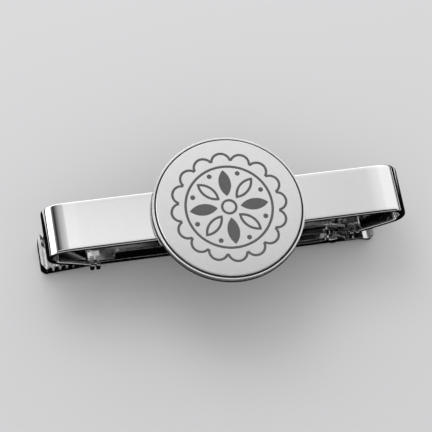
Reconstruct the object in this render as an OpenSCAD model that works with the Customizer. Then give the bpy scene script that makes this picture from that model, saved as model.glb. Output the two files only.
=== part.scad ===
// Sprung tie clip with a round medallion.
// A bar folded back at both ends carries the medallion on its face. Its two
// folded tongues hold a clasp base, and a toothed lever swings on that base.
// X runs along the bar, Z points out of the medallion, and Z = 0 is the
// surface the clip lies on. X = Y = 0 is the middle of the medallion.

/* [Front bar] */
// Length of the bar over its folded ends
bar_l = 60; // [55:1:70]
// Width of the bar
bar_w = 8.5; // [8:0.1:9.5]
// Thickness of the bar's sheet
bar_t = 1; // [0.8:0.05:1.1]
// Outer radius of the folded ends
bend_r = 3.1; // [2.8:0.05:3.4]
// Angle at which the folded tongues spread away from the bar
tongue_slope = 28.5; // [26:0.5:31]
// Distance from the bar's end to the tongue's free end
tongue_tip_in = 9; // [8.5:0.1:11]
// Length of the level end of each tongue
tongue_flat = 1.9; // [1.8:0.05:2.2]
// Outer radius of the bend before the level end
knee_r = 2; // [1.7:0.1:2.5]
// How far the bar's centre line lies above the medallion's middle
bar_offset = 0.9; // [0:0.1:1.2]

/* [Medallion] */
// Diameter of the medallion's tray
medal_d = 25; // [22:0.5:30]
// Height of the tray over its rim
tray_h = 1.2; // [1:0.1:1.6]
// Thickness of the tray's floor
tray_floor = 0.5; // [0.3:0.05:0.7]
// Width of the tray's rim
rim_w = 0.35; // [0.25:0.05:0.6]
// Radius of the rim's outer edge
rim_round = 0.15; // [0.1:0.05:0.25]
// Clearance between the face plate and the rim
plate_gap = 0.25; // [0.1:0.05:0.4]
// Thickness of the face plate
plate_t = 0.9; // [0.8:0.05:1.2]
// Chamfer round the face plate
plate_chamfer = 0.12; // [0.05:0.01:0.2]
// Thickness of the adhesive film under the face plate
film_t = 0.1; // [0.05:0.01:0.2]
// How far the film stays inside the face plate's edge
film_inset = 0.6; // [0.3:0.1:1]
// How far the mounting pad stands out beyond the tray
pad_out = 0.2; // [0.1:0.05:0.4]
// Width of the mounting pad across the bar
pad_w = 9.4; // [8.8:0.1:10.5]
// Thickness of the mounting pad
pad_t = 0.6; // [0.4:0.1:1]

/* [Engraving] */
// Width of an engraved line
line_w = 0.4; // [0.3:0.05:0.45]
// Depth of the engraving
engrave_depth = 0.15; // [0.1:0.01:0.3]
// How far the dark filling stays below the face
fill_below = 0.03; // [0.01:0.01:0.05]
// Number of lobes round the scalloped border
lobes = 16; // [14:1:18]
// Distance of the lobes' centres from the middle
lobe_at = 7.9; // [7.5:0.1:8.2]
// Radius of each lobe
lobe_r = 1.75; // [1.7:0.05:1.85]
// Outer radius of the plain ring inside the border
ring_r = 7.3; // [7.1:0.1:7.4]
// Number of petals, every second one filled
petals = 8; // [6:2:8]
// Distance from the middle to the root of a petal
petal_in = 1.9; // [1.8:0.1:2.2]
// Length of a petal
petal_l = 4.6; // [4:0.1:4.8]
// Width of a petal
petal_w = 2; // [1.6:0.1:2.1]
// Outer radius of the small ring in the middle
eye_r = 1.35; // [1:0.05:1.5]
// Radius of the dots between the petals
dot_r = 0.4; // [0.3:0.05:0.45]

/* [Clasp base] */
// Sheet thickness of the clasp base
base_t = 0.5; // [0.4:0.05:0.6]
// Width over the side walls of the clasp base
base_w = 6.7; // [6.2:0.1:6.7]
// Height of the side walls above the floor of the base
wall_h = 2.9; // [2.4:0.1:3.4]
// Distance from the bar's left end to the side walls
wall_left_in = 11.4; // [11:0.1:13]
// Distance from the bar's right end to the side walls
wall_right_in = 9.4; // [9.2:0.05:9.5]
// Distance from the bar's right end to where the walls start to slope
wall_slope_in = 13.4; // [13:0.1:15]
// Height of the side walls at their right end
wall_end_h = 1.1; // [0.8:0.1:1.5]
// Corner radius of the side walls at their left end
wall_corner = 0.8; // [0.4:0.1:1.2]
// Length of the window in the floor round the spring
window_l = 2.6; // [2.4:0.05:2.8]
// Width of each claw folded over a tongue
claw_w = 0.65; // [0.5:0.05:0.7]
// Distance between the two claws on one side of a tongue
claw_pitch = 1; // [0.9:0.05:1.1]
// How far a claw reaches over the tongue from its edge
claw_reach = 1.3; // [0.9:0.1:1.6]

/* [Lever] */
// Sheet thickness of the lever
lever_t = 0.55; // [0.4:0.05:0.6]
// Width of the lever over its ears and thumb tab
lever_w = 8.8; // [8.5:0.05:9]
// Width of the lever's arm and jaw
jaw_w = 6.2; // [6:0.1:6.5]
// Distance from the bar's right end to where the lever widens
shoulder_in = 19; // [16:0.5:20]
// Gap between the base's floor and the lever's floor
lever_gap = 1.7; // [1.65:0.05:2]
// Height of the lever's stiffening edges above its floor
edge_h = 0.75; // [0.4:0.05:0.8]
// Distance from the bar's left end to where the jaw starts to slope
jaw_in = 8; // [7:0.5:10]
// How far the jaw's tip stands out beyond the bar's end
jaw_out = 0.6; // [0:0.1:1]
// Slope of the jaw's floor
jaw_slope = 9.8; // [8:0.2:11]
// Height of the wall across the jaw's tip
jaw_wall_h = 3.4; // [2.5:0.1:3.6]
// Length of the cut across each corner of the jaw's tip
jaw_corner = 0.65; // [0.5:0.05:0.8]
// Number of teeth on each side of the jaw
teeth = 6; // [5:1:6]
// Distance from the bar's left end to the last notch of the teeth
tooth_in = 6.9; // [6.8:0.1:7.1]
// Distance from one tooth to the next
tooth_pitch = 1.1; // [1:0.05:1.15]
// Depth of the notches between the teeth
tooth_h = 1.9; // [1.2:0.1:2.1]
// Gap between the closed teeth and the tongue
tooth_gap = 0.15; // [0.1:0.05:0.3]
// Distance from the bar's right end to where the thumb tab bends away
tab_in = 6.7; // [6.5:0.1:7]
// Angle at which the thumb tab spreads away from the bar
tab_slope = 25; // [22:1:30]
// Length of the cut across each corner of the thumb tab
tab_corner = 0.95; // [0.7:0.05:1.2]

/* [Hinge] */
// Distance from the bar's right end to the hinge pin
pin_in = 11.4; // [11.2:0.05:11.6]
// Distance of the pin's axis below the floor of the base
pin_below = 0.55; // [0.5:0.01:0.6]
// Diameter of the hinge pin
pin_d = 1.1; // [1:0.02:1.12]
// Diameter of the pin's head
head_d = 1.9; // [1.6:0.05:2.1]
// Thickness of the pin's head
head_t = 0.35; // [0.2:0.05:0.5]
// Diameter of the riveted end of the pin
rivet_d = 1.7; // [1.5:0.05:2]
// Radial clearance of the pin in the base
pin_fit = 0.02; // [0.01:0.005:0.03]
// Radial clearance of the lever on the pin
pin_run = 0.05; // [0.03:0.01:0.08]
// Clearance between the lever and the pin's heads
head_gap = 0.1; // [0.05:0.01:0.2]
// Radius of the base's ears round the pin
ear_r = 0.95; // [0.85:0.05:1]
// Radius of the lever's ears round the pin
lever_ear_r = 1.25; // [1.1:0.05:1.4]

/* [Spring] */
// Diameter of the spring wire
wire_d = 0.4; // [0.35:0.01:0.42]
// Radial clearance between the coil and the pin
coil_gap = 0.07; // [0.05:0.01:0.1]
// Whole turns of the coil
turns = 4; // [3:1:4]
// Distance from one turn to the next
coil_pitch = 0.9; // [0.89:0.01:0.95]
// Slope of the leg that bears on the base
upper_leg_slope = 25.5; // [25:0.5:28]
// Slope of the leg that bears on the lever
lower_leg_slope = 2; // [1:0.5:2.5]
// Length of each leg
leg_l = 3.3; // [2.8:0.1:3.4]

/* [Hidden] */
$fn = 64;
// Overrun of the cuts
cut = 0.5;

// Places along the bar, from its middle
tongue_tip_x = bar_l / 2 - tongue_tip_in;
wall_left = bar_l / 2 - wall_left_in;
wall_right = bar_l / 2 - wall_right_in;
wall_slope_x = bar_l / 2 - wall_slope_in;
jaw_x = bar_l / 2 - jaw_in;
tooth_x = bar_l / 2 - tooth_in;
tab_x = bar_l / 2 - tab_in;
pin_x = bar_l / 2 - pin_in;
shoulder_x = bar_l / 2 - shoulder_in;
jaw_tip = -bar_l / 2 - jaw_out;

// Tongues: height each drops below the bar's face, and their straight length
bend_x = bar_l / 2 - bend_r;
slope_x = bend_x + bend_r * sin(tongue_slope);
slope_drop = bend_r * (1 + cos(tongue_slope));
knee_run = knee_r * sin(tongue_slope) + tongue_flat;
tongue_l = (slope_x - knee_run - tongue_tip_x) / cos(tongue_slope);
knee_drop = knee_r * (1 - cos(tongue_slope));
tongue_drop = slope_drop + tongue_l * sin(tongue_slope) + knee_drop;

// Depths below the bar's face
base_under = tongue_drop + base_t;
pin_drop = base_under + pin_below;
lever_top = base_under + lever_gap;
lever_under = lever_top + lever_t;
jaw_drop = (bar_l / 2 + jaw_out - jaw_x) * tan(jaw_slope);
wall_top = tongue_drop - wall_h;

// Height of the bar's face above the surface the clip lies on
face_z = lever_under + jaw_drop;

// Medallion radii and heights above the bar's face
recess_r = medal_d / 2 - rim_w;
plate_r = recess_r - plate_gap;
film_z = pad_t + tray_floor;
plate_z = film_z + film_t;
plate_top = plate_z + plate_t;

// Thumb tab: it ends level with the lowest edge of the jaw
tab_end = tab_x + jaw_drop / tan(tab_slope);
lever_in = lever_w / 2 - lever_t;
arm_in = jaw_w / 2 - lever_t;
base_in = base_w / 2 - base_t;

// Pocket of the jaw: its corners are cut so that the sheet stays equally thick
pocket_tip = jaw_tip + lever_t;
pocket_corner = jaw_corner - (2 - sqrt(2)) * lever_t;

// Turns what is drawn clockwise round a centre that lies r below the origin
module after_bend(r, angle) {
    translate([0, -r])
    rotate(-angle)
    translate([0, r])
    children();
}

// A bent strip whose outer side starts at the origin, heading +X
module bend(r, t, angle) {
    intersection() {
        translate([0, -r])
        difference() {
            circle(r);
            circle(r - t);
        }
        translate([0, -3 * r])
        square([2 * r, 4 * r]);
        after_bend(r, angle)
        translate([-2 * r, -3 * r])
        square([2 * r, 4 * r]);
    }
}

module strip(l, t) {
    translate([0, -t])
    square([l, t]);
}

// Stands a side profile up, so that it runs across the bar
module across(w) {
    rotate([90, 0, 0])
    linear_extrude(w, center = true)
    children();
}

// A round plate whose upper outer edge is rounded
module round_plate(r, h, edge) {
    rotate_extrude() {
        square([r - edge, h]);
        square([r, h - edge]);
        translate([r - edge, h - edge])
        circle(edge);
    }
}

// Places what is drawn from the middle of the bar's face
module on_bar() {
    translate([0, bar_offset, face_z])
    children();
}

// A round bar along the hinge's axis
module along_pin(l, r) {
    translate([pin_x, 0, -pin_drop])
    rotate([90, 0, 0])
    cylinder(h = l, r = r, center = true);
}

// Right half of the bar's side profile, from the middle of its face
module bar_half() {
    strip(bend_x, bar_t);
    translate([bend_x, 0]) {
        bend(bend_r, bar_t, 180 - tongue_slope);
        after_bend(bend_r, 180 - tongue_slope) {
            strip(tongue_l, bar_t);
            translate([tongue_l, 0]) {
                bend(knee_r, bar_t, tongue_slope);
                after_bend(knee_r, tongue_slope)
                strip(tongue_flat, bar_t);
            }
        }
    }
}

module front_bar() {
    color("gainsboro")
    on_bar()
    across(bar_w) {
        bar_half();
        mirror([1, 0])
        bar_half();
    }
}

// The pad is a disc cut to a band a little wider than the bar
module mounting_pad() {
    pad_r = medal_d / 2 + pad_out;
    color("silver")
    translate([0, 0, face_z])
    intersection() {
        cylinder(h = pad_t, r = pad_r);
        translate([-pad_r, -pad_w / 2, 0])
        cube([2 * pad_r, pad_w, pad_t]);
    }
}

module medallion_tray() {
    color("silver")
    translate([0, 0, face_z + pad_t])
    difference() {
        round_plate(medal_d / 2, tray_h, rim_round);
        translate([0, 0, tray_floor])
        cylinder(h = tray_h, r = recess_r);
    }
}

module adhesive_film() {
    color("dimgray")
    translate([0, 0, face_z + film_z])
    cylinder(h = film_t, r = plate_r - film_inset);
}

// A pointed petal along +X: where two equal circles overlap
module petal_shape(inset) {
    half_l = petal_l / 2;
    half_w = petal_w / 2;
    arc_r = (half_l * half_l + half_w * half_w) / petal_w;
    translate([petal_in + half_l, 0])
    intersection_for (side = [-1, 1]) {
        translate([0, side * (arc_r - half_w)])
        circle(arc_r - inset);
    }
}

// Scalloped border, drawn in by the given amount
module lobed_disc(inset) {
    cusp_r = lobe_at * cos(180 / lobes) + line_w;
    circle(inset > 0 ? cusp_r : lobe_at);
    for (k = [0 : lobes - 1]) {
        rotate(k * 360 / lobes)
        translate([lobe_at, 0])
        circle(lobe_r - inset);
    }
}

module ring_line(r) {
    difference() {
        circle(r);
        circle(r - line_w);
    }
}

// The engraved pattern: a border, a ring, petals, dots and an eye
module rosette() {
    difference() {
        lobed_disc(0);
        lobed_disc(line_w);
    }
    ring_line(ring_r);
    ring_line(eye_r);
    for (k = [0 : petals - 1]) {
        rotate(k * 360 / petals)
        difference() {
            petal_shape(0);
            if (k % 2 == 1) petal_shape(line_w);
        }
        rotate((k + 1 / 2) * 360 / petals)
        translate([petal_in + petal_l - dot_r, 0])
        circle(dot_r);
    }
}

module medallion_plate() {
    edge_r = plate_r - plate_chamfer;
    color("whitesmoke")
    translate([0, 0, face_z + plate_z])
    difference() {
        union() {
            cylinder(h = plate_t - plate_chamfer, r = plate_r);
            translate([0, 0, plate_t - plate_chamfer])
            cylinder(h = plate_chamfer, r1 = plate_r, r2 = edge_r);
        }
        translate([0, 0, plate_t - engrave_depth])
        linear_extrude(engrave_depth + cut)
        rosette();
    }
}

module engraving_fill() {
    color("dimgray")
    translate([0, 0, face_z + plate_top - engrave_depth])
    linear_extrude(engrave_depth - fill_below)
    rosette();
}

// Side wall of the base, seen from the side, with its ear round the pin
module base_wall() {
    translate([-wall_left, -base_under])
    square([wall_left + wall_slope_x, base_under - wall_top - wall_corner]);
    translate([-wall_left + wall_corner, -base_under])
    square([wall_left + wall_slope_x - wall_corner, base_under - wall_top]);
    translate([-wall_left + wall_corner, -wall_top - wall_corner])
    circle(wall_corner);
    polygon([
        [wall_slope_x, -base_under],
        [wall_slope_x, -wall_top],
        [wall_right, -tongue_drop + wall_end_h],
        [wall_right, -base_under]
    ]);
    translate([pin_x - ear_r, -pin_drop])
    square([2 * ear_r, pin_drop - tongue_drop]);
    translate([pin_x, -pin_drop])
    circle(ear_r);
}

// One claw seen along the bar: up the tongue's edge and over it
module claw_profile() {
    tongue_top = tongue_drop - bar_t;
    translate([bar_w / 2, -base_under])
    square([base_t, base_under - tongue_top]);
    translate([bar_w / 2, -tongue_top])
    intersection() {
        circle(base_t);
        square([base_t, base_t]);
    }
    translate([bar_w / 2 - claw_reach, -tongue_top])
    square([claw_reach, base_t]);
}

module claw(x) {
    translate([x, 0, 0])
    rotate([90, 0, 90])
    linear_extrude(claw_w, center = true)
    claw_profile();
}

// A strip of the base's floor that ends in a claw on each side
module claw_pair(x) {
    translate([x - claw_w / 2, -bar_w / 2 - base_t, -base_under])
    cube([claw_w, bar_w + 2 * base_t, base_t]);
    claw(x);
    mirror([0, 1, 0])
    claw(x);
}

module clasp_base() {
    pad_end = tongue_tip_x + tongue_flat;
    pad_mid = tongue_tip_x + tongue_flat / 2;
    color("darkgray")
    on_bar()
    difference() {
        union() {
            translate([-pad_end, -base_w / 2, -base_under])
            cube([2 * pad_end, base_w, base_t]);
            for (end = [-1, 1], step = [-1, 1]) {
                claw_pair(end * (pad_mid + step * claw_pitch / 2));
            }
            for (side = [-1, 1]) {
                translate([0, side * (base_w - base_t) / 2, 0])
                across(base_t)
                base_wall();
            }
        }
        translate([pin_x - window_l / 2, -base_in, -base_under - cut])
        cube([window_l, 2 * base_in, base_t + 2 * cut]);
        along_pin(base_w + cut, pin_d / 2 + pin_fit);
    }
}

// A sheet seen from above, from the outline of its far half
module both_halves(half) {
    polygon(concat(half, [for (k = [len(half) - 1 : -1 : 0]) [half[k][0], -half[k][1]]]));
}

// Lever seen from above: a narrow arm with the jaw, then ears and tab
module lever_outline() {
    both_halves([
        [jaw_tip, jaw_w / 2 - jaw_corner],
        [jaw_tip + jaw_corner, jaw_w / 2],
        [shoulder_x, jaw_w / 2],
        [shoulder_x, lever_w / 2],
        [tab_end - tab_corner, lever_w / 2],
        [tab_end, lever_w / 2 - tab_corner]
    ]);
}

// The space between the lever's edges, seen from above
module pocket_outline() {
    both_halves([
        [pocket_tip, arm_in - pocket_corner],
        [pocket_tip + pocket_corner, arm_in],
        [shoulder_x + lever_t, arm_in],
        [shoulder_x + lever_t, lever_in],
        [tab_end + cut, lever_in]
    ]);
}

// Lever's floor, seen from the side: its lower and its upper line
floor_low = [
    [tab_end, -face_z],
    [tab_x, -lever_under],
    [-jaw_x, -lever_under],
    [jaw_tip, -face_z]
];
floor_up = [
    [jaw_tip, lever_t / cos(jaw_slope) - face_z],
    [-jaw_x - lever_t * tan(jaw_slope / 2), -lever_top],
    [tab_x + lever_t * tan(tab_slope / 2), -lever_top],
    [tab_end, lever_t / cos(tab_slope) - face_z]
];
above_tab = [
    [tab_end + cut, lever_t / cos(tab_slope) - face_z],
    [tab_end + cut, 0],
    [jaw_tip, 0]
];

// Teeth: their tips run along the jaw's floor and just miss the tongue
teeth_left = -tooth_x - teeth * tooth_pitch;
function floor_z(x) = (x + jaw_x) * tan(jaw_slope) - lever_under;
tooth_top = -tongue_drop - tooth_gap - floor_z(-tooth_x);
// One tooth, as shares of the pitch and of the notches' depth
tooth_shares = [[0.1, -1], [0.3, 0], [0.7, 0], [0.9, -1]];
tooth_line = [
    for (k = [0 : teeth - 1], corner = tooth_shares)
        let (x = teeth_left + (k + corner[0]) * tooth_pitch)
        [x, floor_z(x) + tooth_top + corner[1] * tooth_h]
];

// Lever seen from the side: floor, toothed flange and edge
module lever_side() {
    polygon(concat(
        floor_low,
        [
            [jaw_tip, jaw_wall_h - face_z],
            [(jaw_tip + teeth_left) / 2, jaw_wall_h - face_z]
        ],
        tooth_line,
        [
            [-jaw_x, edge_h - lever_top],
            [pin_x - 2 * lever_ear_r, edge_h - lever_top],
            [pin_x - lever_ear_r, -pin_drop],
            [pin_x + lever_ear_r, -pin_drop],
            [tongue_tip_x, -lever_top],
            [tab_x + lever_t * tan(tab_slope / 2), -lever_top],
            [tab_end, lever_t / cos(tab_slope) - face_z]
        ]
    ));
}

module jaw_lever() {
    color("lightgray")
    on_bar()
    difference() {
        intersection() {
            union() {
                across(lever_w)
                lever_side();
                along_pin(lever_w, lever_ear_r);
            }
            translate([0, 0, -face_z - cut])
            linear_extrude(face_z)
            lever_outline();
        }
        intersection() {
            across(2 * lever_in)
            polygon(concat(floor_up, above_tab));
            translate([0, 0, -face_z])
            linear_extrude(face_z)
            pocket_outline();
        }
        along_pin(lever_w + cut, pin_d / 2 + pin_run);
    }
}

module hinge_pin() {
    shaft_l = lever_w + 2 * head_gap;
    color("gainsboro")
    on_bar()
    translate([pin_x, 0, -pin_drop])
    rotate([90, 0, 0]) {
        cylinder(h = shaft_l, r = pin_d / 2, center = true);
        translate([0, 0, shaft_l / 2])
        round_plate(head_d / 2, head_t, head_t / 2);
        translate([0, 0, -shaft_l / 2])
        mirror([0, 0, 1])
        cylinder(h = head_t, r1 = rivet_d / 2, r2 = pin_d / 2);
    }
}

// Spring: a coil round the pin between two straight legs, from the leg
// that bears on the base to the leg that bears on the lever
coil_r = pin_d / 2 + coil_gap + wire_d / 2;
coil_start = 90 - upper_leg_slope;
coil_sweep = 180 + upper_leg_slope - lower_leg_slope + 360 * turns;
coil_l = coil_pitch * coil_sweep / 360;
turn_rings = 8;
coil_steps = ceil(turn_rings * coil_sweep / 360);
leg_steps = 3;

// Points and outward directions of the wire's rings, seen from the pin
function coil_at(k) =
    let (a = coil_start + coil_sweep * k / coil_steps)
    [[cos(a), 0, sin(a)], [coil_r * cos(a), coil_l * (k / coil_steps - 1 / 2), coil_r * sin(a)]];
function leg_at(foot, slope, s) =
    [foot[0], foot[1] + s * [cos(slope), 0, -sin(slope)]];
wire = concat(
    [for (k = [leg_steps : -1 : 1]) leg_at(coil_at(0), upper_leg_slope, leg_l * k / leg_steps)],
    [for (k = [0 : coil_steps]) coil_at(k)],
    [for (k = [1 : leg_steps]) leg_at(coil_at(coil_steps), lower_leg_slope, leg_l * k / leg_steps)]
);
sides = 6;
wire_points = [
    for (ring = wire, j = [0 : sides - 1])
        ring[1] + wire_d / 2 * (cos(j * 360 / sides) * ring[0] + sin(j * 360 / sides) * [0, 1, 0])
];
last = sides * (len(wire) - 1);
wire_faces = concat(
    [
        for (i = [0 : len(wire) - 2], j = [0 : sides - 1], half = [0, 1])
            let (a = i * sides + j, b = i * sides + (j + 1) % sides)
            half == 0 ? [a, a + sides, b + sides] : [a, b + sides, b]
    ],
    [for (j = [1 : sides - 2]) [0, j, j + 1]],
    [for (j = [1 : sides - 2]) [last, last + j + 1, last + j]]
);

// Least gap between parts of the wire that lie half a turn or more apart
wire_gap = min([
    for (i = [0 : len(wire) - 1], j = [i + turn_rings / 2 : 1 : len(wire) - 1])
        norm(wire[i][1] - wire[j][1])
]) - wire_d;
echo(wire_gap = wire_gap);

module torsion_spring() {
    color("gray")
    on_bar()
    translate([pin_x, 0, -pin_drop])
    polyhedron(wire_points, wire_faces);
}

front_bar();
mounting_pad();
medallion_tray();
adhesive_film();
medallion_plate();
engraving_fill();
clasp_base();
jaw_lever();
hinge_pin();
torsion_spring();
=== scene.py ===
# %% [markdown]
# # A sprung tie clip with a round medallion
# The clip is a folded, polished bar that carries a satin medallion. A clasp
# base hooks over the bar's two tongues, and a toothed lever swings on that
# base against a small coil spring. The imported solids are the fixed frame:
# every piece below stays in the place and the size that they give.

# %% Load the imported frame
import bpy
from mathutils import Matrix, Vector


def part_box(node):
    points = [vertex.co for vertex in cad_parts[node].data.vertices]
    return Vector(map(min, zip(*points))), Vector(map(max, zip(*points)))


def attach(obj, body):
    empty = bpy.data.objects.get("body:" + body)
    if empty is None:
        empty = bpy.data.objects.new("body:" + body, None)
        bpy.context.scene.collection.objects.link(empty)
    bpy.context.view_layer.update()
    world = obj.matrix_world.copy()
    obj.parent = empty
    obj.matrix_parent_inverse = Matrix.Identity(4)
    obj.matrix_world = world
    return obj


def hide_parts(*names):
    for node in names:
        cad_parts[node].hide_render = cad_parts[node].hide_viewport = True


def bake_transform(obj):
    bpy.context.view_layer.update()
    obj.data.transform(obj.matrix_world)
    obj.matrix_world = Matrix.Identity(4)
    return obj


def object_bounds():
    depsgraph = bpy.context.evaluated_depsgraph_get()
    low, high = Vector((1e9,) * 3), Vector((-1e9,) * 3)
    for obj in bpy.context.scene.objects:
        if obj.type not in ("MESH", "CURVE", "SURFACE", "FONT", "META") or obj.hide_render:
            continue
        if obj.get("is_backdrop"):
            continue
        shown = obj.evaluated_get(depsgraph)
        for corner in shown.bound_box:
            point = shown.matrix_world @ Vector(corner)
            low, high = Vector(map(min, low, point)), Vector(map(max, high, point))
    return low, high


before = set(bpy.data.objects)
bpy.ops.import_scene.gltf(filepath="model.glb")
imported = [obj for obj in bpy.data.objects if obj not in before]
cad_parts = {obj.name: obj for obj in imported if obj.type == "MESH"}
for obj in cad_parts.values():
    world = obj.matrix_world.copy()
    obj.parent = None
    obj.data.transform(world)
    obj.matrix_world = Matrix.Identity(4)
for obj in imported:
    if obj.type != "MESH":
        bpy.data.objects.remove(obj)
cad_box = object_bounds()

# %% [markdown]
# ## Measures
# Blender measures in metres, but this clip is only 60 mm long. Its pieces
# could be drawn in metres at once, but bevels and merges would then meet
# numbers close to zero. So each piece is drawn in millimetres, and one last
# step brings it to metres.

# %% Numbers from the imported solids
import math
import bmesh
import bpy
from mathutils import Matrix, Vector

MM = 0.001


def cad_size(node):
    """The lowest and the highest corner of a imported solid, in mm."""
    low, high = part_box(node)
    return low / MM, high / MM


bar_low, bar_high = cad_size("front_bar")
bar_l, bar_w, face_z = bar_high.x - bar_low.x, bar_high.y - bar_low.y, bar_high.z
bar_y = (bar_high.y + bar_low.y) / 2
print(f"bar {bar_l:.2f} x {bar_w:.2f} mm, face at {face_z:.3f} mm, middle at y {bar_y:.2f} mm")

# %% [markdown]
# ## Surface effects shared by the metals
# Real polish is never even: cloth leaves fine lines, and fingers leave a haze
# that only shows in the reflections. Pictures of scratches could be laid on
# the pieces, but they would have to be unwrapped and would blur close up. Node
# groups that read Object coordinates need neither, and one group serves every
# metal at its own scale.


# %% Helpers that build nodes
def put(tree, kind, sockets=None, **settings):
    """Adds a node, sets its properties, then fills or links its inputs."""
    node = tree.nodes.new(kind)
    for name, value in settings.items():
        setattr(node, name, value)
    for key, value in (sockets or {}).items():
        if isinstance(value, bpy.types.NodeSocket):
            tree.links.new(value, node.inputs[key])
        else:
            node.inputs[key].default_value = value
    return node


def calc(tree, operation, *values):
    """One Math node; gives its output."""
    return put(tree, "ShaderNodeMath", dict(enumerate(values)), operation=operation).outputs[0]


def by_mm(tree, value):
    """Divides by a millimetre: metres become mm, and a count per mm becomes one per metre."""
    return calc(tree, "DIVIDE", value, MM)


def ramp(tree, value, start, end, low=0.0, high=1.0):
    """One Map Range node: gives low where the value is start, and high where it is end."""
    ends = {"Value": value, "From Min": start, "From Max": end, "To Min": low, "To Max": high}
    return put(tree, "ShaderNodeMapRange", ends).outputs["Result"]


def object_place(tree):
    """A point's place on its piece, which stays the same when the piece moves."""
    return put(tree, "ShaderNodeTexCoord").outputs["Object"]


def split(tree, vector):
    """The outputs X, Y and Z of a vector."""
    return put(tree, "ShaderNodeSeparateXYZ", {0: vector}).outputs


# %% A node group with named sockets
def new_tree(name, kind, inputs, outputs):
    """An empty group; gives it, what goes in and what comes out. Inputs are (name, type, value)."""
    tree = bpy.data.node_groups.new(name, kind)
    for label, socket, value in inputs:
        made = tree.interface.new_socket(
            name=label, in_out="INPUT", socket_type="NodeSocket" + socket)
        if value is not None:
            made.default_value = value
    for label, socket in outputs:
        tree.interface.new_socket(name=label, in_out="OUTPUT", socket_type="NodeSocket" + socket)
    print(f"group {name}: {', '.join(label for label, *_ in inputs)}")
    return tree, put(tree, "NodeGroupInput").outputs, put(tree, "NodeGroupOutput").inputs


# %% Group: fine lines left by polishing or brushing
lines_tree, given, made = new_tree(
    "Polishing lines", "ShaderNodeTree",
    [("Lines per mm", "Float", 8.0), ("Along X", "Float", 0.1), ("Along Y", "Float", 1.0),
     ("Along Z", "Float", 1.0)],
    [("Height", "Float")])
stretch = put(lines_tree, "ShaderNodeCombineXYZ", {axis: given["Along " + axis] for axis in "XYZ"})
stretched = put(lines_tree, "ShaderNodeVectorMath",
                {0: object_place(lines_tree), 1: stretch.outputs[0]}, operation="MULTIPLY")
lines = put(lines_tree, "ShaderNodeTexNoise", {
    "Vector": stretched.outputs[0], "Scale": by_mm(lines_tree, given["Lines per mm"]),
    "Detail": 3.0, "Roughness": 0.6})
lines_tree.links.new(lines.outputs["Fac"], made["Height"])

# %% Group: haze of handling, which only changes the roughness
haze_tree, given, made = new_tree(
    "Handling haze", "ShaderNodeTree",
    [("Clean", "Float", 0.08), ("Hazy", "Float", 0.14), ("Patches per mm", "Float", 0.25)],
    [("Roughness", "Float")])
patches = put(haze_tree, "ShaderNodeTexNoise", {
    "Vector": object_place(haze_tree), "Scale": by_mm(haze_tree, given["Patches per mm"]),
    "Detail": 4.0, "Distortion": 0.6})
no_haze, full_haze = 0.35, 0.7
haze = ramp(haze_tree, patches.outputs["Fac"], no_haze, full_haze, given["Clean"], given["Hazy"])
haze_tree.links.new(haze, made["Roughness"])


# %% Group: mottled colour
def blend_colours(tree, share, first, second):
    """One Mix node for colours, from the first to the second; gives its output."""
    mix = put(tree, "ShaderNodeMix", {"Factor": share}, data_type="RGBA")
    for socket, value in zip([i for i in mix.inputs if i.type == "RGBA"], (first, second)):
        if isinstance(value, bpy.types.NodeSocket):
            tree.links.new(value, socket)
        else:
            socket.default_value = value
    return [o for o in mix.outputs if o.type == "RGBA"][0]


mottle_tree, given, made = new_tree(
    "Mottled colour", "ShaderNodeTree",
    [("Light", "Color", (0.9, 0.9, 0.91, 1)), ("Dark", "Color", (0.8, 0.8, 0.81, 1)),
     ("Spots per mm", "Float", 1.0)],
    [("Color", "Color")])
spots = put(mottle_tree, "ShaderNodeTexNoise", {
    "Vector": object_place(mottle_tree), "Scale": by_mm(mottle_tree, given["Spots per mm"]),
    "Detail": 5.0, "Roughness": 0.65})
all_light, all_dark = 0.38, 0.66
darker = ramp(mottle_tree, spots.outputs["Fac"], all_light, all_dark)
mottled = blend_colours(mottle_tree, darker, given["Light"], given["Dark"])
mottle_tree.links.new(mottled, made["Color"])

# %% Group: the very slight warp of a pressed plate, domed across the bar and hollow along it
dome_tree, given, made = new_tree(
    "Slight dome", "ShaderNodeTree", [("Radius", "Float", 150.0)], [("Height", "Float")])
place = split(dome_tree, object_place(dome_tree))
hollow_share = -0.5
x_squared = calc(dome_tree, "MULTIPLY", place["X"], place["X"])
along = calc(dome_tree, "MULTIPLY", x_squared, hollow_share)
squares = calc(dome_tree, "MULTIPLY_ADD", place["Y"], place["Y"], along)
twice_down = calc(dome_tree, "MULTIPLY", given["Radius"], -2 * MM)
dome_tree.links.new(calc(dome_tree, "DIVIDE", squares, twice_down), made["Height"])

# %% Group: painted shade, a dark ring round the middle below a wavy height
painted_shade_tree, given, made = new_tree(
    "Painted shade in a corner", "ShaderNodeTree",
    [("Inner radius", "Float", 0.0), ("Outer radius", "Float", 12.0), ("Top", "Float", 14.0),
     ("Fade", "Float", 0.05)],
    [("Share", "Float")])
waves_per_mm, wave_h = 1.5, 0.1
place = object_place(painted_shade_tree)
axes = split(painted_shade_tree, place)
flat = put(painted_shade_tree, "ShaderNodeCombineXYZ", {"X": axes["X"], "Y": axes["Y"]})
from_axis = put(painted_shade_tree, "ShaderNodeVectorMath", {0: flat.outputs[0]}, operation="LENGTH")
out_mm, up_mm = (by_mm(painted_shade_tree, metres) for metres in (from_axis.outputs["Value"], axes["Z"]))
within = calc(painted_shade_tree, "MULTIPLY",
              calc(painted_shade_tree, "GREATER_THAN", out_mm, given["Inner radius"]),
              calc(painted_shade_tree, "LESS_THAN", out_mm, given["Outer radius"]))
wavy = put(painted_shade_tree, "ShaderNodeTexNoise",
           {"Vector": place, "Scale": waves_per_mm / MM, "Detail": 2.0})
wave = calc(painted_shade_tree, "SUBTRACT", wavy.outputs["Fac"], 0.5)
top = calc(painted_shade_tree, "MULTIPLY_ADD", wave, wave_h, given["Top"])
clear = calc(painted_shade_tree, "ADD", top, given["Fade"])
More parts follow.
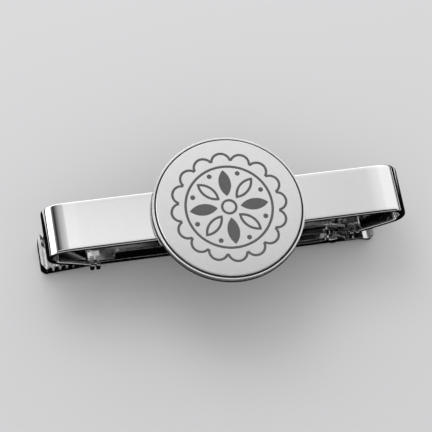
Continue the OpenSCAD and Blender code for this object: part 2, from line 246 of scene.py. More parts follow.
below_top = ramp(painted_shade_tree, up_mm, top, clear, 1.0, 0.0)
painted_shade_tree.links.new(calc(painted_shade_tree, "MULTIPLY", within, below_top), made["Share"])

# %% [markdown]
# ## Finishes
# All the metal is white and neutral: mirror polish on the bar and the tray,
# satin on the face and the pad, and bright nickel on the stamped clasp, which
# is painted darker on the base than on the lever, as shade under the bar. Each
# could be one flat grey, but the finishes really differ in roughness, in the
# direction of their fine lines and in how deep these are. So one function
# makes every metal from those few numbers.


# %% Colours and fine lines
def grey(level, blue=0.0):
    """A neutral colour, or one with a trace of blue."""
    return (level, level, level + blue, 1)


def new_material(name):
    """A material with its node tree and its shader."""
    made = bpy.data.materials.new(name)
    made.use_nodes = True
    return made, made.node_tree, made.node_tree.nodes["Principled BSDF"]


def lined(tree, lines, depth):
    """A Bump node of fine lines: their count per mm, then how close they lie along X, Y and Z."""
    names = ("Lines per mm", "Along X", "Along Y", "Along Z")
    grain = put(tree, "ShaderNodeGroup", dict(zip(names, lines)), node_tree=lines_tree)
    return put(tree, "ShaderNodeBump", {
        "Height": grain.outputs["Height"], "Strength": 1.0, "Distance": depth * MM})


def paint_shade(tree, shader, shade_bands, tint, rough):
    """Paints shade on a metal as dark matt bands, from rows of (inner radius, outer radius, top,
    fade) in mm.
    """
    names, share = ("Inner radius", "Outer radius", "Top", "Fade"), 0.0
    for row in shade_bands:
        band = put(tree, "ShaderNodeGroup", dict(zip(names, row)), node_tree=painted_shade_tree)
        share = calc(tree, "MAXIMUM", share, band.outputs["Share"])
    tree.links.new(calc(tree, "SUBTRACT", 1.0, share), shader.inputs["Metallic"])
    dark, matt = grey(0.02, 0.001), 0.7
    return blend_colours(tree, share, tint, dark), ramp(tree, share, 0.0, 1.0, rough, matt)


# %% One way to make a metal
def metal(name, light, dark, clean, hazy, depth, lines=(8.0, 0.1, 1.0, 1.0), dome=0.0, shade_bands=()):
    """A metal between two colours and two roughnesses. depth is that of its fine lines and
    dome the radius of a slight warp, both in mm."""
    made, tree, shader = new_material(name)
    shader.inputs["Metallic"].default_value = 1.0
    colour = put(tree, "ShaderNodeGroup", {"Light": light, "Dark": dark}, node_tree=mottle_tree)
    haze = put(tree, "ShaderNodeGroup", {"Clean": clean, "Hazy": hazy}, node_tree=haze_tree)
    bump = lined(tree, lines, depth)
    if dome:
        bowl = put(tree, "ShaderNodeGroup", {"Radius": dome}, node_tree=dome_tree)
        warp = put(tree, "ShaderNodeBump", {
            "Height": bowl.outputs["Height"], "Strength": 1.0, "Distance": 1.0})
        tree.links.new(warp.outputs["Normal"], bump.inputs["Normal"])
    tint, rough = colour.outputs["Color"], haze.outputs["Roughness"]
    # Painted shade: dark matt bands laid into the metal's colour and roughness
    if shade_bands:
        tint, rough = paint_shade(tree, shader, shade_bands, tint, rough)
    tree.links.new(tint, shader.inputs["Base Color"])
    tree.links.new(rough, shader.inputs["Roughness"])
    tree.links.new(bump.outputs["Normal"], shader.inputs["Normal"])
    return made


# %% The metals of this clip
# How close the fine lines lie along X, Y and Z: a low number draws them out that way
even, along_bar, along_wire = (1.0, 1.0, 1.0), (0.15, 1.0, 1.0), (1.0, 0.2, 1.0)
polished_bar = metal("Polished bar", grey(0.90), grey(0.885), clean=0.04, hazy=0.06, depth=0.0004)
satin_face = metal("Satin face", grey(0.83), grey(0.80), clean=0.33, hazy=0.37, depth=0.004,
                   lines=(14.0, *even), dome=150)
satin_pad = metal("Satin pad", grey(0.52), grey(0.46), clean=0.24, hazy=0.30, depth=0.003,
                  lines=(10.0, *even))
# Painted shade: the clasp base's nickel is darker than the lever's, for the shade under the bar
shaded_nickel = metal("Nickel with painted shade", grey(0.62), grey(0.54), clean=0.1, hazy=0.18, depth=0.002,
                      lines=(10.0, *along_bar))
lever_nickel = metal("Lever nickel", grey(0.82), grey(0.74), clean=0.1, hazy=0.16, depth=0.002,
                     lines=(10.0, *along_bar))
pin_steel = metal("Pin steel", grey(0.86, 0.01), grey(0.78, 0.01), clean=0.1, hazy=0.16,
                  depth=0.001)
wire_steel = metal("Spring wire", grey(0.62, 0.02), grey(0.52, 0.01), clean=0.22, hazy=0.34,
                   depth=0.003, lines=(12.0, *along_wire))
print("metals:", [m.name for m in bpy.data.materials if m.use_nodes])

# %% [markdown]
# ## Paint and adhesive
# The engraved lines are filled with dark grey paint, and an adhesive film
# lies under the face plate, near black as painted shade in the seam round the
# face. Black would be simpler for the paint, but real paint in a fine groove is
# uneven and never quite black. It is no metal and barely shines, so it has a
# function of its own, which shares the groups above.


# %% Make the two dull coats
def dull(name, light, dark, rough, spots, depth):
    """A matt, mottled coat. spots is how many lie in a mm, and depth that of its grain, in mm."""
    made, tree, shader = new_material(name)
    shader.inputs["Roughness"].default_value = rough
    shader.inputs["Specular IOR Level"].default_value = 0.3
    colours = {"Light": light, "Dark": dark, "Spots per mm": spots}
    colour = put(tree, "ShaderNodeGroup", colours, node_tree=mottle_tree)
    tree.links.new(colour.outputs["Color"], shader.inputs["Base Color"])
    grains_per_spot = 3
    bump = lined(tree, (spots * grains_per_spot, *even), depth)
    tree.links.new(bump.outputs["Normal"], shader.inputs["Normal"])
    return made


engraving_paint = dull(
    "Engraving paint", grey(0.13, 0.003), grey(0.075, 0.002), rough=0.55, spots=5.0, depth=0.004)
# Painted shade: the adhesive is a real film, but its near-black colour darkens the seam round the
# face
adhesive_with_shade = dull(
    "Adhesive darkened as shade", grey(0.05, 0.002), grey(0.03, 0.002), rough=0.8, spots=1.5, depth=0.004)
print("coats:", engraving_paint.name, "and", adhesive_with_shade.name)

# %% [markdown]
# ## The folded bar
# The real bar is one strip of sheet, folded back at both ends. It could be cut
# from a box and bent with modifiers, but its shape is a rule: a line that runs
# straight, bends, runs straight and bends once more. So the script walks that
# line, and Geometry Nodes sweep a strip's cross section along it, which keeps
# the sheet equally thick everywhere and its edges equally round.

# %% Sizes of the strip and its folds
sheet_t, bend_r, knee_r = 1.0, 3.1, 2.0
slope, tongue_flat, tongue_in = math.radians(28.5), 1.9, 9.0
# Sheet never starts to bend at once: (radius, angle) of the gentle arcs before each fold
ease = [(60.0, math.radians(2)), (14.0, math.radians(5))]
ease_steps, fold_steps, knee_steps = 12, 60, 16

bend_x = bar_l / 2 - bend_r
slope_x = bend_x + bend_r * math.sin(slope)
knee_run = knee_r * math.sin(slope) + tongue_flat
tongue_l = (slope_x - knee_run - (bar_l / 2 - tongue_in)) / math.cos(slope)

# After the gentle arcs the fold is a little tighter, so that the bar's ends and its
# tongues stay where the solid has them
run = drop = eased = 0.0
for radius, angle in ease:
    run += radius * (math.sin(eased + angle) - math.sin(eased))
    drop += radius * (math.cos(eased) - math.cos(eased + angle))
    eased += angle
fold, mid_r = math.pi - slope, bend_r - sheet_t / 2
fold_r = (mid_r * (1 - math.sin(fold) - math.cos(fold)) + math.cos(fold) * drop) / (
    1 - math.sin(fold) - math.cos(fold) * math.cos(eased))
straight = bend_x + mid_r - fold_r + fold_r * math.sin(eased) - run
print(f"straight to {straight:.2f} mm, fold radius {fold_r:.3f} mm in the middle of the sheet")


# %% The line that the strip follows
def walk(steps, start):
    """Points of a line in the XZ plane, from steps of (length,) or (radius, angle, count).
    It turns clockwise."""
    here, heading, points = Vector(start), 0.0, [Vector(start)]
    for step in steps:
        if len(step) == 1:
            here = here + step[0] * Vector((math.cos(heading), 0, math.sin(heading)))
            points.append(here.copy())
            continue
        radius, angle, count = step
        centre = here + radius * Vector((math.sin(heading), 0, -math.cos(heading)))
        for k in range(1, count + 1):
            now = heading - angle * k / count
            points.append(centre + radius * Vector((-math.sin(now), 0, math.cos(now))))
        heading, here = heading - angle, points[-1].copy()
    return points


steps = [(straight,)] + [(radius, angle, ease_steps) for radius, angle in ease]
steps += [(fold_r, fold - eased, fold_steps), (tongue_l,)]
steps += [(knee_r - sheet_t / 2, slope, knee_steps), (tongue_flat,)]
right_half = walk(steps, (0, bar_y, face_z - sheet_t / 2))[1:]
left_half = [Vector((-p.x, p.y, p.z)) for p in right_half]
bar_line = left_half[::-1] + right_half
lowest = min(p.z for p in bar_line)
print(f"{len(bar_line)} points, tongue {tongue_l:.2f} mm long, lowest at {lowest:.2f} mm")


# %% Tree: a strip swept along a line
def sweep(tree, line, profile, material, out):
    """Sweeps a profile along a mesh line. The export drops instances, so they are made real."""
    curve = put(tree, "GeometryNodeMeshToCurve", {"Mesh": line})
    swept = put(tree, "GeometryNodeCurveToMesh", {
        "Curve": curve.outputs[0], "Profile Curve": profile, "Fill Caps": True})
    real = put(tree, "GeometryNodeRealizeInstances", {"Geometry": swept.outputs[0]})
    dressed = put(tree, "GeometryNodeSetMaterial", {
        "Geometry": real.outputs[0], "Material": material})
    tree.links.new(dressed.outputs[0], out)


def squared(along, size, flatness):
    """A circle's coordinate, spread out until the circle is a rounded bar of that size."""
    power = calc(strip_tree, "DIVIDE", 2.0, flatness)
    outward = calc(strip_tree, "POWER", calc(strip_tree, "ABSOLUTE", along), power)
    signed = calc(strip_tree, "MULTIPLY", outward, calc(strip_tree, "SIGN", along))
    return calc(strip_tree, "MULTIPLY", signed, calc(strip_tree, "DIVIDE", size, 2.0))


strip_tree, given, made = new_tree(
    "Swept strip", "GeometryNodeTree",
    [("Line", "Geometry", None), ("Width", "Float", 8.5), ("Thickness", "Float", 1.0),
     ("Face flatness", "Float", 24.0), ("Edge flatness", "Float", 2.5),
     ("Metal", "Material", None)],
    [("Strip", "Geometry")])
section_points = 88
circle = put(strip_tree, "GeometryNodeCurvePrimitiveCircle", {
    "Resolution": section_points, "Radius": 1.0})
around = split(strip_tree, put(strip_tree, "GeometryNodeInputPosition").outputs[0])
place = put(strip_tree, "ShaderNodeCombineXYZ", {
    "X": squared(around["X"], given["Width"], given["Face flatness"]),
    "Y": squared(around["Y"], given["Thickness"], given["Edge flatness"])})
section = put(strip_tree, "GeometryNodeSetPosition", {
    "Geometry": circle.outputs[0], "Position": place.outputs[0]})
sweep(strip_tree, given["Line"], section.outputs[0], given["Metal"], made["Strip"])


# %% From a tree to a plain mesh
def new_piece(name, mesh):
    """An object for a mesh, at the origin."""
    piece = bpy.data.objects.new(name, mesh)
    bpy.context.scene.collection.objects.link(piece)
    return piece


def apply_modifiers(piece):
    """Turns what the modifiers show into the piece's own plain mesh."""
    graph = bpy.context.evaluated_depsgraph_get()
    shown = bpy.data.meshes.new_from_object(piece.evaluated_get(graph), depsgraph=graph)
    piece.modifiers.clear()
    piece.data = shown
    return piece


def point_row(name, points):
    """A mesh of points, each joined to the next by an edge."""
    mesh = bpy.data.meshes.new(name)
    mesh.from_pydata(points, [(k, k + 1) for k in range(len(points) - 1)], [])
    return mesh


def run_tree(name, mesh, tree, values):
    """Puts a mesh through a Geometry Nodes tree and keeps the plain result."""
    piece = new_piece(name, mesh)
    nodes = piece.modifiers.new(tree.name, "NODES")
    nodes.node_group = tree
    sockets = {s.name: s.identifier for s in tree.interface.items_tree if s.in_out == "INPUT"}
    for label, value in values.items():
        nodes[sockets[label]] = value
    return apply_modifiers(piece)


# %% The last step of every piece
def finish_piece(piece, weld=0.0):
    """Turns faces outwards, shades them smoothly and brings the mesh to metres.
    weld, in mm, joins points that lie no further apart."""
    bm = bmesh.new()
    bm.from_mesh(piece.data)
    if weld:
        bmesh.ops.remove_doubles(bm, verts=bm.verts, dist=weld)
        bmesh.ops.dissolve_degenerate(bm, dist=weld, edges=bm.edges)
    if bm.calc_volume(signed=True) < 0:
        bmesh.ops.reverse_faces(bm, faces=bm.faces)
    bm.to_mesh(piece.data)
    bm.free()
    crease = math.radians(50)
    piece.data.shade_smooth()
    piece.data.set_sharp_from_angle(angle=crease)
    weighted = piece.modifiers.new("Flat faces stay flat", "WEIGHTED_NORMAL")
    weighted.keep_sharp = True
    apply_modifiers(piece)
    piece.data.transform(Matrix.Scale(MM, 4))
    low, high = (Vector(corner) for corner in (piece.bound_box[0], piece.bound_box[6]))
    size = " x ".join(f"{length / MM:.2f}" for length in high - low)
    print(f"{piece.name}: {len(piece.data.polygons)} faces, {size} mm")


def declare(piece, body, node):
    """Hangs the piece on its body and hides the solid that it stands for."""
    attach(piece, body)
    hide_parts(node)


# %% Sweep the bar
face_flatness, edge_flatness = 24.0, 2.5
folded_bar = run_tree("folded_bar", point_row("bar line", bar_line), strip_tree, {
    "Width": bar_w, "Thickness": sheet_t, "Face flatness": face_flatness,
    "Edge flatness": edge_flatness, "Metal": polished_bar})
finish_piece(folded_bar)
declare(folded_bar, "clip_body", "front_bar")

# %% [markdown]
# ## The pad between bar and medallion
# The medallion is stuck to a flat pad, a disc cut down to a band a little
# wider than the bar. A cylinder could be cut with two boxes, but a boolean
# leaves long thin faces that spoil a rounded edge. The outline is only two
# arcs and two straight sides, so it is drawn as one face, pulled up to its
# thickness and then rounded.


# %% Slabs and rounded edges
def to_piece(name, bm, material):
    """Keeps a bmesh as a new piece of that material, and frees it."""
    mesh = bpy.data.meshes.new(name)
    bm.to_mesh(mesh)
    bm.free()
    mesh.materials.append(material)
    return new_piece(name, mesh)


def slab(name, outline, low, high, material):
    """A closed slab between two heights, from its outline seen from above."""
    bm = bmesh.new()
    face = bm.faces.new([bm.verts.new((x, y, low)) for x, y in outline])
    raised = bmesh.ops.extrude_face_region(bm, geom=[face])["geom"]
    lifted = [part for part in raised if isinstance(part, bmesh.types.BMVert)]
    bmesh.ops.translate(bm, vec=(0, 0, high - low), verts=lifted)
    bmesh.ops.recalc_face_normals(bm, faces=bm.faces)
    return to_piece(name, bm, material)


def round_edges(piece, radius, steps=2):
    """Rounds every sharp edge, as tumbling does to stamped metal."""
    bevel = piece.modifiers.new("Rounded edges", "BEVEL")
    bevel.width, bevel.segments = radius, steps
    bevel.limit_method, bevel.angle_limit = "ANGLE", math.radians(40)
    bevel.use_clamp_overlap = False
    return apply_modifiers(piece)


# %% Build the pad
pad_low, pad_high = cad_size("mounting_pad")
pad_r, pad_half, pad_round, arc_steps = pad_high.x, pad_high.y, 0.12, 40
corner = math.asin(pad_half / pad_r)
arc = [corner * (2 * k / arc_steps - 1) for k in range(arc_steps + 1)]
outline = [(pad_r * math.cos(a), pad_r * math.sin(a)) for a in arc]
outline += [(-x, -y) for x, y in outline]
mounting_disc = slab("mounting_disc", outline, pad_low.z, pad_high.z, satin_pad)
round_edges(mounting_disc, pad_round, steps=4)
finish_piece(mounting_disc)
declare(mounting_disc, "clip_body", "mounting_pad")

# %% [markdown]
# ## The tray
# The medallion sits in a shallow tray that was turned on a lathe, and its
# bright rim shows all round the face. Modelling could start from a cylinder,
# but a lathe's own way is simpler: the cross section is drawn once, with its
# small rounded edges, and turned about the middle. Shade is painted into the
# metal as a dark matt band in the seam between rim and face, and low on the
# wall.


# %% A cross section with rounded corners
def rounded_path(corners):
    """A section's points, from corners of (r, z, radius of the rounding)."""
    points, steps = [], 5
    for k, (r, z, radius) in enumerate(corners):
        here = Vector((r, z))
        if not radius:
            points.append(here)
            continue
        before = (Vector(corners[k - 1][:2]) - here).normalized()
        after = (Vector(corners[(k + 1) % len(corners)][:2]) - here).normalized()
        half = before.angle(after) / 2
        centre = here + (before + after).normalized() * (radius / math.sin(half))
        first, last = (here + side * (radius / math.tan(half)) - centre for side in (before, after))
        begin = math.atan2(first.y, first.x)
        arc = (math.atan2(last.y, last.x) - begin + math.pi) % math.tau - math.pi
        for j in range(steps + 1):
            now = begin + arc * j / steps
            points.append(centre + radius * Vector((math.cos(now), math.sin(now))))
    return points


# %% Turn a cross section into a round piece
def turned(name, corners, material, steps=192):
    """A round piece about Z. Its section starts and ends on the axis."""
    bm = bmesh.new()
    verts = [bm.verts.new((p.x, 0, p.y)) for p in rounded_path(corners)]
    edges = [bm.edges.new(pair) for pair in zip(verts, verts[1:])]
    bmesh.ops.spin(bm, geom=verts + edges, cent=(0, 0, 0), axis=(0, 0, 1), angle=math.tau,
                   steps=steps, use_merge=True)
    same_point = 0.0005
    bmesh.ops.remove_doubles(bm, verts=bm.verts, dist=same_point)
    bmesh.ops.recalc_face_normals(bm, faces=bm.faces)
    return to_piece(name, bm, material)


# %% Turn the tray
tray_low, tray_high = cad_size("medallion_tray")
tray_r, tray_floor, rim_w = tray_high.x, cad_size("adhesive_film")[0].z, 0.35
foot_round, rim_round, lip_round = 0.08, 0.15, 0.06
recess_r = tray_r - rim_w
# Painted shade: dark matt bands in the seam round the face and low on the outer wall
seam_shade = (0.0, recess_r + 0.01, tray_high.z - 0.2, 0.05)
wall_shade = (tray_r - 0.05, tray_r + 1, tray_low.z + 0.65, 0.35)
tray_metal = metal("Polished tray", grey(0.88), grey(0.85), clean=0.05, hazy=0.09, depth=0.0004,
                   shade_bands=[seam_shade, wall_shade])
tray = turned("medallion_tray_rim", [
    (0, tray_low.z, 0), (tray_r, tray_low.z, foot_round), (tray_r, tray_high.z, rim_round),
    (recess_r, tray_high.z, lip_round), (recess_r, tray_floor, 0), (0, tray_floor, 0)], tray_metal)
finish_piece(tray)
declare(tray, "clip_body", "medallion_tray")

# %% [markdown]
# ## Stamped pieces with softened edges
# The engraved face, the clasp base and the lever are stamped, and as solids
# they already have their true shape, so drawing them again would gain nothing.
# What a solid lacks is the softened edge that tumbling leaves on stamped metal,
# and that edge is what catches the light. A copy of each solid is merged into
# clean faces, and its edges are rounded.


# %% Copy a solid and soften its edges
def softened(name, node, radius, material, corners=None):
    """A solid's shape with rounded edges. corners = (test, width) first rounds some edges wider."""
    same_point, same_plane, corner_steps = 0.002, math.radians(0.5), 5
    bm = bmesh.new()
    bm.from_mesh(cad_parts[node].data)
    bmesh.ops.scale(bm, vec=(1 / MM,) * 3, verts=bm.verts)
    bmesh.ops.remove_doubles(bm, verts=bm.verts, dist=same_point)
    bmesh.ops.dissolve_limit(bm, angle_limit=same_plane, verts=bm.verts, edges=bm.edges)
    if corners:
        test, width = corners
        chosen = [edge for edge in bm.edges if test(edge)]
        print(f"{name}: {len(chosen)} upright corner edges")
        bmesh.ops.bevel(bm, geom=chosen, offset=width, segments=corner_steps, profile=0.5,
                        affect="EDGES", clamp_overlap=True)
    return round_edges(to_piece(name, bm, material), radius)


# %% The engraved face
plate_round = 0.03
engraved_face = softened("engraved_face", "medallion_plate", plate_round, satin_face)
finish_piece(engraved_face)
declare(engraved_face, "clip_body", "medallion_plate")

# %% The clasp base
stamped_round = 0.07
clasp_plate = softened("clasp_plate", "clasp_base", stamped_round, shaded_nickel)
finish_piece(clasp_plate)
declare(clasp_plate, "clip_body", "clasp_base")


# %% The lever, whose cut corners are rounded before its edges
def turns_a_corner(edge):
    """True for an outer edge that stands upright where a cut crosses a corner of the sheet."""
    a, b = (v.co for v in edge.verts)
    upright = abs(b.z - a.z) > 5 * (abs(b.x - a.x) + abs(b.y - a.y))
    return upright and edge.is_convex and 40 < math.degrees(edge.calc_face_angle(0)) < 50


corner_round, lever_weld = 0.4, 0.005
toothed_lever = softened("toothed_lever", "jaw_lever", stamped_round, lever_nickel,
                         corners=(turns_a_corner, corner_round))
finish_piece(toothed_lever, weld=lever_weld)
declare(toothed_lever, "jaw", "jaw_lever")

# %% [markdown]
# ## The hinge pin
# The lever swings on a rivet: a domed head at one end, and an end that is
# hammered out at the other. It is round, so it could be stacked from
# cylinders, but one turned section gives it its rounded edges too. It is
# turned about Z, as the tray is, and laid along the hinge.

# %% Turn the pin
pin_low, pin_high = cad_size("hinge_pin")
pin_r, head_r, rivet_r, head_t = 0.55, 0.95, 0.85, 0.35
tip_round, rivet_round, shoulder_round, dome_round = 0.12, 0.08, 0.05, 0.3
half_l = (pin_high.y - pin_low.y) / 2 - head_t
end_l = half_l + head_t
rivet = turned("rivet_pin", [
    (0, -end_l, 0), (pin_r, -end_l, tip_round), (rivet_r, -half_l, rivet_round),
    (pin_r, -half_l, 0), (pin_r, half_l, 0), (head_r, half_l, shoulder_round),
    (head_r, end_l, dome_round), (0, end_l, 0)], pin_steel, steps=64)
pin_place = (pin_low + pin_high) / 2
rivet.data.transform(Matrix.Translation(pin_place) @ Matrix.Rotation(math.radians(90), 4, "X"))
finish_piece(rivet)
declare(rivet, "clip_body", "hinge_pin")

# %% [markdown]
# ## The coil spring
# A torsion spring is one wire: a straight leg, a few turns round the pin and
# a second straight leg, which bears on the lever. Blender's own spiral has no
# legs, and drawing them apart would leave a seam. So Geometry Nodes bend a row
# of points by one rule, with each leg as the coil's tangent, and sweep a round
# wire along it.

# %% Tree: a wire coiled between two legs
spring_tree, given, made = new_tree(
    "Torsion spring", "GeometryNodeTree",
    [("Row", "Geometry", None), ("Coil radius", "Float", 0.82), ("Wire", "Float", 0.4),
     ("Start", "Float", 0.0), ("Turn", "Float", 28.0), ("Coil length", "Float", 4.0),
     ("Coil steps", "Float", 100.0), ("Leg steps", "Float", 4.0), ("Leg length", "Float", 3.3),
     ("Metal", "Material", None)],
    [("Spring", "Geometry")])


def on_spring(operation, *values):
    """One Math node of the spring's tree."""
    return calc(spring_tree, operation, *values)


index = put(spring_tree, "GeometryNodeInputIndex").outputs[0]
step = on_spring("SUBTRACT", index, given["Leg steps"])
on_coil = on_spring("MINIMUM", on_spring("MAXIMUM", step, 0.0), given["Coil steps"])
share = on_spring("DIVIDE", on_coil, given["Coil steps"])
angle = on_spring("MULTIPLY_ADD", share, given["Turn"], given["Start"])
leg_step = on_spring("DIVIDE", given["Leg length"], given["Leg steps"])
past_coil = on_spring("MULTIPLY", on_spring("SUBTRACT", step, on_coil), leg_step)
cosine, sine = (on_spring(kind, angle) for kind in ("COSINE", "SINE"))

# %% Where each point of the wire lies
spot = put(spring_tree, "ShaderNodeCombineXYZ", {
    "X": on_spring("SUBTRACT", on_spring("MULTIPLY", cosine, given["Coil radius"]),
                   on_spring("MULTIPLY", sine, past_coil)),
    "Y": on_spring("MULTIPLY", on_spring("SUBTRACT", share, 0.5), given["Coil length"]),
    "Z": on_spring("MULTIPLY_ADD", sine, given["Coil radius"],
                   on_spring("MULTIPLY", cosine, past_coil))})
bent = put(spring_tree, "GeometryNodeSetPosition", {
    "Geometry": given["Row"], "Position": spot.outputs[0]})
wire_points = 14
ring = put(spring_tree, "GeometryNodeCurvePrimitiveCircle", {
    "Resolution": wire_points, "Radius": on_spring("DIVIDE", given["Wire"], 2.0)})
sweep(spring_tree, bent.outputs[0], ring.outputs[0], given["Metal"], made["Spring"])
print(f"spring tree: {len(spring_tree.nodes)} nodes")

# %% Coil the spring round the pin
coil_r, wire_d, leg_l, coil_pitch, turns = 0.82, 0.4, 3.3, 0.9, 4
upper_slope, lower_slope = 25.5, 2.0
start_deg = 90 - upper_slope
turn_deg = 180 + upper_slope - lower_slope + 360 * turns
coil_steps, leg_steps = 160, 4
row = point_row("row of points", [(k, 0, 0) for k in range(coil_steps + 2 * leg_steps + 1)])
coil_spring = run_tree("coil_spring", row, spring_tree, {
    "Coil radius": coil_r, "Wire": wire_d, "Start": math.radians(start_deg),
    "Turn": math.radians(turn_deg), "Coil length": coil_pitch * turn_deg / 360,
    "Coil steps": float(coil_steps), "Leg steps": float(leg_steps), "Leg length": leg_l,
    "Metal": wire_steel})
coil_spring.data.transform(Matrix.Translation((pin_place.x, bar_y, pin_place.z)))
finish_piece(coil_spring)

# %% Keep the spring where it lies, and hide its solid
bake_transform(coil_spring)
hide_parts("torsion_spring")
print(f"spring: {turn_deg / 360:.2f} turns")

# %% [markdown]
# ## The solids that stay
# The dark inlay lies flat in its grooves and the adhesive film is hidden. Both
# could be drawn again like the other pieces, but neither has an edge that light
# could catch. They are already right as solids and only get their finish.

# %% Dress the inlay and the film
for node, material in (("engraving_fill", engraving_paint), ("adhesive_film", adhesive_with_shade)):
    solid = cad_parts[node]
    solid.data.materials.clear()
    solid.data.materials.append(material)
    print(node, "wears", material.name)

# %% [markdown]
# ## The floor
# The clip lies on a plain pale floor, which is stage and no part of the clip.
# The floor could bend up behind the clip like a photographer's paper, but the
# camera looks down too steeply to see that far. One large flat face with a
# matt colour shows the clip's soft shadow and nothing else.

# %% Lay the floor
reach = 3
corners = [(-reach, -reach, 0), (reach, -reach, 0), (reach, reach, 0), (-reach, reach, 0)]
floor_mesh = bpy.data.meshes.new("floor")
floor_mesh.from_pydata(corners, [], [(0, 1, 2, 3)])
floor = new_piece("floor", floor_mesh)
floor_paint, tree, shader = new_material("Pale floor")
shader.inputs["Base Color"].default_value = grey(0.68, 0.01)
shader.inputs["Roughness"].default_value = 0.9
shader.inputs["Specular IOR Level"].default_value = 0.1
floor_mesh.materials.append(floor_paint)
floor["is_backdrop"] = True
print(f"floor {2 * reach} m wide")

# %% [markdown]
# ## Black cards round the clip
# Chrome has no colour of its own: it shows what stands round it, and in a
# wholly pale room its bends would vanish. A photographer hangs black cards,
# which draw the dark lines along bends and edges. The lines could be painted
# on the metal, but they would be wrong from every other side. So the cards
# stand in the scene, seen by reflections alone, and thin out where the line
# that they draw is soft.


# %% The black of a card
def felt(name, fade):
    """A card's black. fade = (axis, solid, gone, power) thins it out between two places in mm."""
    made, tree, _ = new_material(name)
    tree.nodes.clear()
    black = put(tree, "ShaderNodeBsdfDiffuse", {"Color": grey(0.004)})
    surface = black.outputs[0]
    if fade:
        axis, solid, gone, power = fade
        amount = ramp(tree, split(tree, object_place(tree))[axis], gone * MM, solid * MM)
        shade = calc(tree, "POWER", amount, power)
        clear = put(tree, "ShaderNodeBsdfTransparent")
        mix = put(tree, "ShaderNodeMixShader", {0: shade, 1: clear.outputs[0], 2: surface})
        surface = mix.outputs[0]
    put(tree, "ShaderNodeOutputMaterial", {"Surface": surface})
    return made


def dark_card(name, rows, fade=None):
    """A black card that only reflections see, from rows of two corners each, in mm."""
    mesh = bpy.data.meshes.new(name)
    corners = [[c * MM for c in corner] for row in rows for corner in row]
    faces = [(2 * k, 2 * k + 1, 2 * k + 3, 2 * k + 2) for k in range(len(rows) - 1)]
    mesh.from_pydata(corners, [], faces)
    mesh.materials.append(felt(name + " felt", fade))
    card = new_piece(name, mesh)
    card.visible_camera = card.visible_diffuse = card.visible_shadow = False
    card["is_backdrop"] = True
    print("card:", name)


# %% Cards that lie flat, for the left bend and the underside
def flat_card(name, x_range, y_range, z, fade=None):
    """A card that lies level at the height z."""
    (x0, x1), (y0, y1) = x_range, y_range
    dark_card(name, [((x0, y0, z), (x1, y0, z)), ((x0, y1, z), (x1, y1, z))], fade)


near_x, joint_x, far_x, overhead_y, overhead_z = -33, -215, -480, (30, 280), 250
flat_card("left_overhead_card", (joint_x, near_x), overhead_y, overhead_z,
          ("X", joint_x, near_x, 0.4))
flat_card("far_left_card", (far_x, joint_x), overhead_y, overhead_z, ("X", joint_x, far_x, 0.7))


# %% Cards that stand, for the fold's edges, the tab and the inside of the clasp
def standing_card(name, x_range, y_range, z_range, fade=None):
    """An upright card. Seen from above it runs from (x0, y0) to (x1, y1)."""
    (x0, x1), (y0, y1), (z0, z1) = x_range, y_range, z_range
    dark_card(name, [((x0, y0, z0), (x1, y1, z0)), ((x0, y0, z1), (x1, y1, z1))], fade)


left_x, right_x, just_above_floor = (-58, -58), (60, 60), 0.02
standing_card("left_sill", left_x, (-30, 60), (3, 8.4))
standing_card("back_card", (-24, 24), (7, 7), (6.5, 11))
flat_card("floor_card", (-60, 60), (-60, 12), just_above_floor)
standing_card("right_sill", right_x, (-60, 100), (0, 13.4))
standing_card("right_card", right_x, (-60, 100), (15.6, 27), ("Z", 18, 27, 1.0))

# %% Two bows in front, for the near edges and the rim
bow_r, bow_l, bow_step, bow_fade = 320, 500, 6, ("Y", -50, 20, 1.0)
for name, first, last in (("front_sill", 3, 15), ("front_bow", 33, 93)):
    angles = [math.radians(a) for a in range(first, last + 1, bow_step)]
    bow = [(-bow_r * math.cos(a), bow_r * math.sin(a)) for a in angles]
    dark_card(name, [((-bow_l, y, z), (bow_l, y, z)) for y, z in bow], bow_fade)

# %% [markdown]
# ## Soft lamps
# A small lamp would burn a hard spot into chrome, so all three are large soft
# boxes. The key lamp lights the floor and gives the shadow, and reflections
# don't see it. The one behind brightens the bar's far edge, and the one at the
# left is the strip of light along the left bend.


# %% Hang the lamps
def softbox(name, place, aim, width, height, radiance):
    """A rectangular lamp of even brightness that faces its aim. Sizes in mm."""
    lamp = bpy.data.lights.new(name, "AREA")
    lamp.shape, lamp.size, lamp.size_y = "RECTANGLE", width * MM, height * MM
    lamp.energy = radiance * math.pi * lamp.size * lamp.size_y
    holder = bpy.data.objects.new(name, lamp)
    bpy.context.scene.collection.objects.link(holder)
    holder.location = Vector(place) * MM
    holder.rotation_mode = "QUATERNION"
    holder.rotation_quaternion = (Vector(aim) - Vector(place)).to_track_quat("-Z", "Y")
    holder.visible_camera = False
    print(f"{name}: {lamp.energy:.3f} W")
    return holder


middle = (0, 0, 10)
key = softbox("key_light", (-70, 230, 300), middle, 200, 200, radiance=2.2)
key.visible_glossy = False
softbox("back_light", (0, 280, 95), middle, 320, 110, radiance=1.05)
left_y, left_z = 13, 20.8
left = softbox("left_light", (-58, left_y, left_z), (0, left_y, left_z), 60, 24.4, radiance=1.2)
left.visible_diffuse = False

# %% [markdown]
# ## The pale room
# The flat faces of the clip mirror the walls of a room, whose even greys run
# slowly from one to the next. Walls could be built, but a world that reads the
# direction of each ray is smoother: one ramp from left to right, brighter
# towards the back, and a small step on the left that slants over the bend.

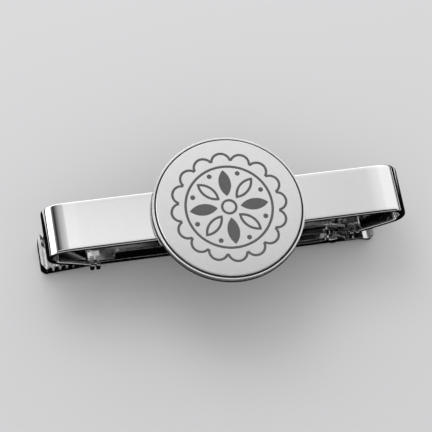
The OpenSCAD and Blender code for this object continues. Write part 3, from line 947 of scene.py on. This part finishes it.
# %% Paint the world
# (how far to the right a ray points, how bright the room is there)
room_greys = [(0.06, 0.79), (0.12, 0.705), (0.17, 0.69), (0.24, 0.63), (0.27, 0.70), (0.36, 0.87)]
world = bpy.data.worlds.new("Pale room")
bpy.context.scene.world = world
world.use_nodes = True
tree = world.node_tree
tree.nodes.clear()
heading = split(tree, put(tree, "ShaderNodeTexCoord").outputs["Generated"])
across = put(tree, "ShaderNodeValToRGB", {0: heading["X"]})
stops = across.color_ramp.elements
stops[0].position, stops[1].position = room_greys[0][0], room_greys[-1][0]
for spot, _ in room_greys[1:-1]:
    stops.new(spot)
for stop, (_, level) in zip(stops, room_greys):
    stop.color = grey(level)
deep = ramp(tree, heading["Y"], start=0.1, end=0.6, low=0.87, high=1.34)
near = ramp(tree, heading["Y"], start=0.35, end=0.39, low=0.12, high=-0.08)
left_share = ramp(tree, heading["X"], start=0.13, end=0.2, low=1.0, high=0.0)
slant = calc(tree, "MULTIPLY_ADD", near, left_share, 1.0)
bright = calc(tree, "MULTIPLY", calc(tree, "MULTIPLY", across.outputs[0], deep), slant)
room = put(tree, "ShaderNodeBackground", {"Color": grey(1), "Strength": bright})
put(tree, "ShaderNodeOutputWorld", {"Surface": room.outputs[0]})
print("room greys from left to right:", [level for _, level in room_greys])

# %% [markdown]
# ## The camera
# The clip is seen steeply from above and a little from the left, through a
# long lens that bends its lines very little. Three angles and a distance say
# that more clearly than a place and a rotation would, so the camera's axes are
# worked out from them.

# %% Set the camera
azimuth, elevation, roll = (math.radians(a) for a in (-24.53, 66.86, 15.74))
distance, shift_right, shift_up, aim_z = 295.8, -1.63, 0.35, 10.0
back = Vector((math.sin(azimuth) * math.cos(elevation), -math.cos(azimuth) * math.cos(elevation),
               math.sin(elevation)))
level = Vector((math.cos(azimuth), math.sin(azimuth), 0))
upright = back.cross(level)
right = math.cos(roll) * level + math.sin(roll) * upright
up = -math.sin(roll) * level + math.cos(roll) * upright
target = Vector((0, 0, aim_z)) + shift_right * right + shift_up * up
camera = bpy.data.objects.new("camera", bpy.data.cameras.new("camera"))
camera.data.lens, camera.data.sensor_width = 150, 36
camera.data.clip_start, camera.data.clip_end = 0.01, 10
turn = Matrix((right, up, back)).transposed().to_4x4()
camera.matrix_world = Matrix.Translation((target + distance * back) * MM) @ turn
bpy.context.scene.collection.objects.link(camera)
bpy.context.scene.camera = camera
bpy.context.scene.view_settings.view_transform = "Standard"
print("camera at", [round(c, 4) for c in camera.location])

# %% [markdown]
# ## How far the dressing reaches
# How far the dressed clip reaches beyond the box of the imported solids is
# printed, in mm.

# %% Finish
visual_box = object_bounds()
grown = [round((v - c) / MM, 3) for a, b in zip(cad_box, visual_box) for c, v in zip(a, b)]
print("grown by mm:", grown)
